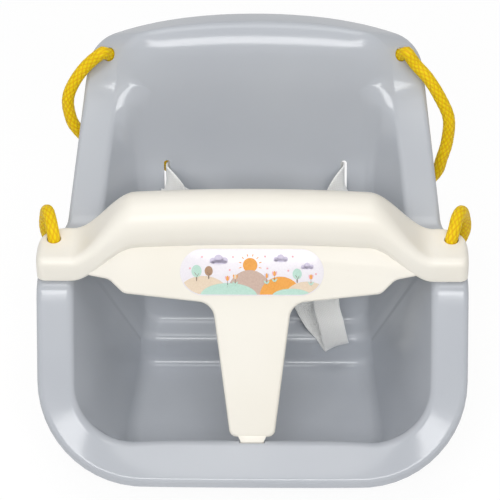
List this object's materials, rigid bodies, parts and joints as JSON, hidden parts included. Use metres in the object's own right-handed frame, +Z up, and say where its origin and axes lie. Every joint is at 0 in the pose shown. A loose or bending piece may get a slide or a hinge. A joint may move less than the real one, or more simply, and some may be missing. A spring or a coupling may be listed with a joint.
{
  "type": "toddler swing seat",
  "caption": "Moulded bucket swing seat for a toddler, with a lift-up T-shaped safety bar, knotted hanging ropes, their spare length coiled, and a buckled belt.",
  "frame": {"origin": "middle of the seat shell's footprint, on the floor that the seat's pan rests on", "axes": "+X to the right as the seat is seen from the front, +Y towards the back rest, +Z up"},
  "size_m": [0.4029, 0.4118, 0.331],
  "materials": {
    "shell_grey": "glossy injection-moulded polypropylene, light blue grey",
    "bar_cream": "satin injection-moulded polypropylene, cream white",
    "label_white": "printed vinyl label, semi-gloss",
    "rope_yellow": "braided polypropylene rope, yellow",
    "belt_white": "woven polypropylene webbing, white",
    "buckle_white": "injection-moulded acetal, white",
    "tie_black": "hook-and-loop strap, black"
  },
  "bodies": {
    "seat": {"seat_shell": "shell_grey", "rope_front_core_left": "rope_yellow", "rope_front_core_right": "rope_yellow", "knot_front_left": "rope_yellow", "knot_front_right": "rope_yellow", "rope_coil_left": "rope_yellow", "rope_coil_right": "rope_yellow", "coil_tie_left": "tie_black", "coil_tie_right": "tie_black", "rope_front_left": "rope_yellow", "rope_front_right": "rope_yellow", "rope_rear_left": "rope_yellow", "rope_rear_right": "rope_yellow", "rope_rear_core_left": "rope_yellow", "rope_rear_core_right": "rope_yellow", "knot_rear_left": "rope_yellow", "knot_rear_right": "rope_yellow", "belt_left": "belt_white", "belt_back": "belt_white", "belt_right": "belt_white", "buckle_socket": "buckle_white"},
    "bar": {"safety_bar": "bar_cream", "bar_label": "label_white"},
    "tongue": {"buckle_tongue": "buckle_white"}
  },
  "joints": [
    {"name": "safety_bar_lift", "type": "slide", "parent": "seat", "child": "bar", "axis": [0, 0, 1], "range_m": [0, 0.2], "deforming": ["rope_front_core_left", "rope_front_core_right", "rope_front_left", "rope_front_right"]},
    {"name": "buckle_release", "type": "slide", "parent": "seat", "child": "tongue", "axis": [0.6428, -0.1983, -0.7399], "range_m": [0, 0.022], "deforming": ["belt_right"]}
  ]
}
